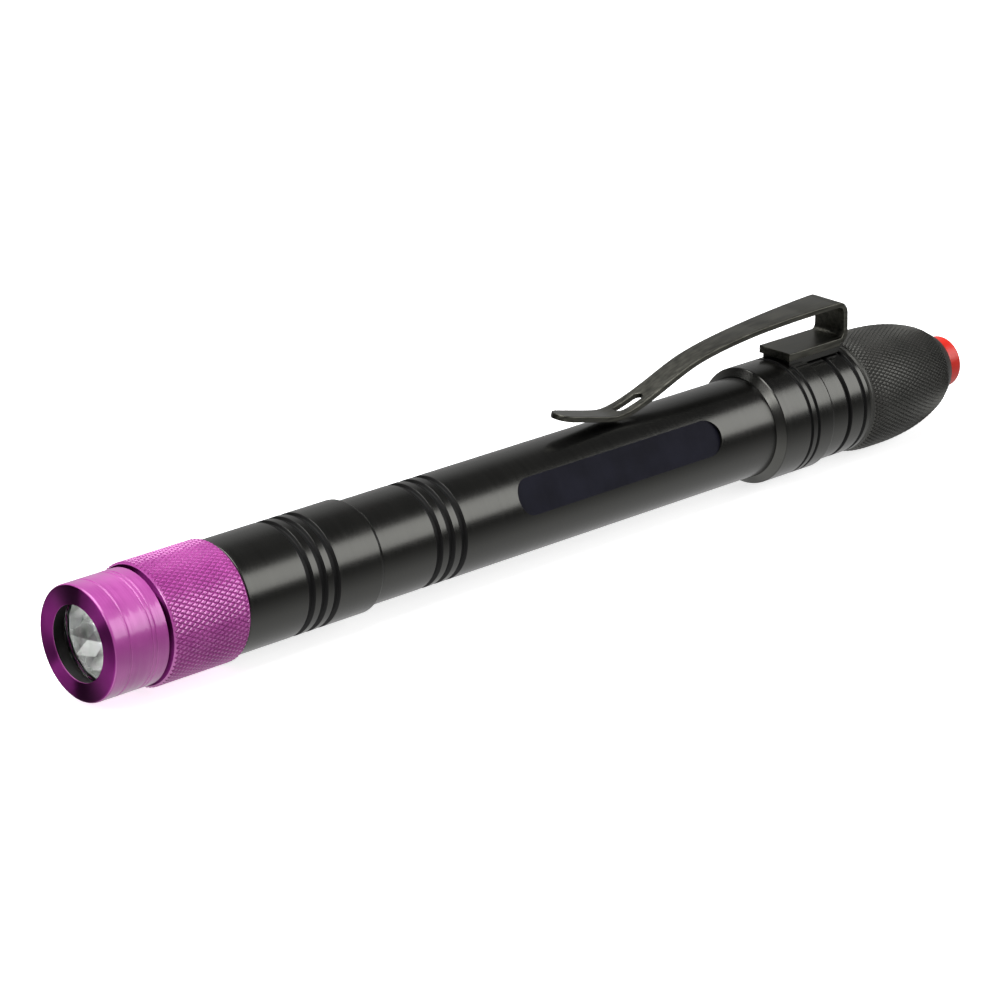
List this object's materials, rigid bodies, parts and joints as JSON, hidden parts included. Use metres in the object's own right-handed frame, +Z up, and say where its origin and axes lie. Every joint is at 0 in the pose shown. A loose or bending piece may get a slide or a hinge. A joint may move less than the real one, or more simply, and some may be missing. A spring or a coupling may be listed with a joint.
{
  "type": "uv penlight",
  "caption": "Slim ultraviolet penlight for checking banknotes, with a knurled screw-on head, a sprung pocket clip and a push button in a screwed tail cap.",
  "frame": {"origin": "centre of the pen's length and width, on the surface that the pen lies on", "axes": "+X along the pen from the light to the push button, +Z up towards the pocket clip, +Y completes the right-handed frame"},
  "size_m": [0.141, 0.0148, 0.0207],
  "materials": {
    "violet_anodised": "violet anodised, satin, turned and knurled",
    "black_anodised": "black anodised, satin, turned and knurled",
    "clip_steel": "dark grey satin spring steel",
    "button_plastic": "red, satin moulded",
    "window_clear": "clear, polished",
    "reflector_silver": "bright metallised, faceted",
    "led_clear": "clear epoxy lens",
    "circuit_board": "solder mask over glass-fibre board",
    "black_parts": "moulded electronic packages",
    "brass_bright": "turned brass",
    "rubber_black": "matt black nitrile rubber",
    "spring_wire": "nickel-plated spring wire",
    "battery_wrap": "printed plastic wrap over a steel can",
    "switch_plastic": "black moulded nylon",
    "plunger_plastic": "natural moulded acetal"
  },
  "bodies": {
    "barrel": {"front_tube": "black_anodised", "main_barrel": "black_anodised", "tail_sleeve": "black_anodised", "clip_foot": "clip_steel", "reflector": "reflector_silver", "uv_led": "led_clear", "led_board": "circuit_board", "driver_parts": "black_parts", "module_housing": "brass_bright", "front_insulator": "switch_plastic", "front_contact": "brass_bright", "head_o_ring": "rubber_black", "battery_front": "battery_wrap", "battery_rear": "battery_wrap"},
    "window_carrier": {"front_window": "window_clear", "window_seal": "rubber_black"},
    "bezel": {"head_bezel": "violet_anodised"},
    "spring_carrier": {"battery_spring": "spring_wire"},
    "cap": {"tail_cap": "black_anodised", "tail_o_ring": "rubber_black", "spring_plate": "spring_wire", "switch_retainer": "brass_bright", "switch_housing": "switch_plastic", "switch_contact": "brass_bright", "switch_spring": "spring_wire"},
    "button": {"push_button": "button_plastic", "switch_plunger": "plunger_plastic"},
    "clip": {"clip_arm": "clip_steel"}
  },
  "joints": [
    {"name": "bezel_travel", "type": "slide", "parent": "barrel", "child": "window_carrier", "axis": [-1, 0, 0], "range_m": [0, 0.003]},
    {"name": "bezel_turn", "type": "hinge", "parent": "window_carrier", "child": "bezel", "pos_m": [-0.06145, 0, 0.00745], "axis": [-1, 0, 0], "range_deg": [0, 1441]},
    {"name": "cap_travel", "type": "slide", "parent": "barrel", "child": "spring_carrier", "axis": [1, 0, 0], "range_m": [0, 0.004], "deforming": ["battery_spring"]},
    {"name": "cap_turn", "type": "hinge", "parent": "spring_carrier", "child": "cap", "pos_m": [0.04655, 0, 0.00745], "axis": [1, 0, 0], "range_deg": [0, 1441]},
    {"name": "button_press", "type": "slide", "parent": "cap", "child": "button", "axis": [-1, 0, 0], "range_m": [0, 0.0018], "stiffness_N_per_m": 700, "springref_m": -0.0015, "deforming": ["switch_spring"]},
    {"name": "clip_flex", "type": "hinge", "parent": "barrel", "child": "clip", "pos_m": [0.04885, 0, 0.01805], "axis": [0, 1, 0], "range_deg": [0, 6], "stiffness_Nm_per_rad": 1.5, "springref_deg": -1.72}
  ],
  "couplings": [
    {"joint": "bezel_turn", "follows": "bezel_travel", "rad_per_m": 8377.6},
    {"joint": "cap_turn", "follows": "cap_travel", "rad_per_m": 6283.2}
  ]
}
